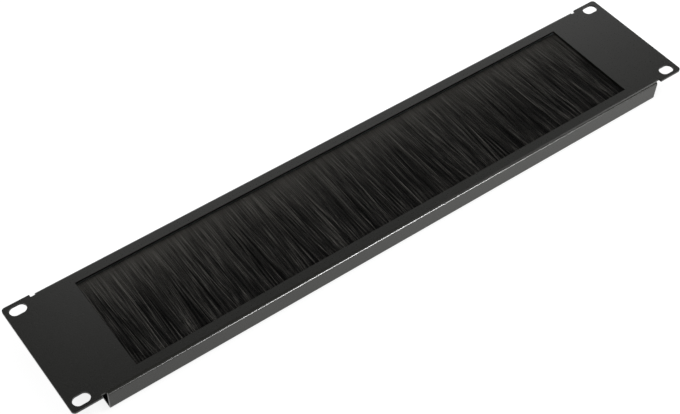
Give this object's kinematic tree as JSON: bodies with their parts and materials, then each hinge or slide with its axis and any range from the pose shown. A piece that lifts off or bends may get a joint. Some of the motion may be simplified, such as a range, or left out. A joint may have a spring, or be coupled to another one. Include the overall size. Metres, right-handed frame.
{
  "type": "rack brush strip panel",
  "caption": "Rack panel of folded black sheet steel with a long cable window closed by a curtain of black nylon bristles on a hidden strip brush.",
  "frame": {"origin": "middle of the footprint, on the surface that the panel's two return lips lie on", "axes": "+X along the 19 inch width, +Y across the panel height towards the rooted edge of the brush, +Z out of the face"},
  "size_m": [0.4826, 0.0882, 0.016],
  "materials": {
    "powder_coated_steel": "fine-textured black powder coat, satin",
    "holder_steel": "smooth black paint, satin",
    "galvanised_steel": "dull galvanised strip",
    "steel_wire": "drawn steel wire",
    "nylon_bristle": "black nylon filament with a soft sheen",
    "coppered_steel": "copper-washed steel",
    "zinc_plated_steel": "bright zinc plate"
  },
  "bodies": {
    "root": {"front_panel": "powder_coated_steel", "brush_holder": "holder_steel", "brush_channel": "galvanised_steel", "core_wire": "steel_wire", "bristles": "nylon_bristle", "weld_stud_1": "coppered_steel", "weld_stud_2": "coppered_steel", "weld_stud_3": "coppered_steel", "weld_stud_4": "coppered_steel", "washer_1": "zinc_plated_steel", "washer_2": "zinc_plated_steel", "washer_3": "zinc_plated_steel", "washer_4": "zinc_plated_steel", "nut_1": "zinc_plated_steel", "nut_2": "zinc_plated_steel", "nut_3": "zinc_plated_steel", "nut_4": "zinc_plated_steel"}
  },
  "joints": []
}
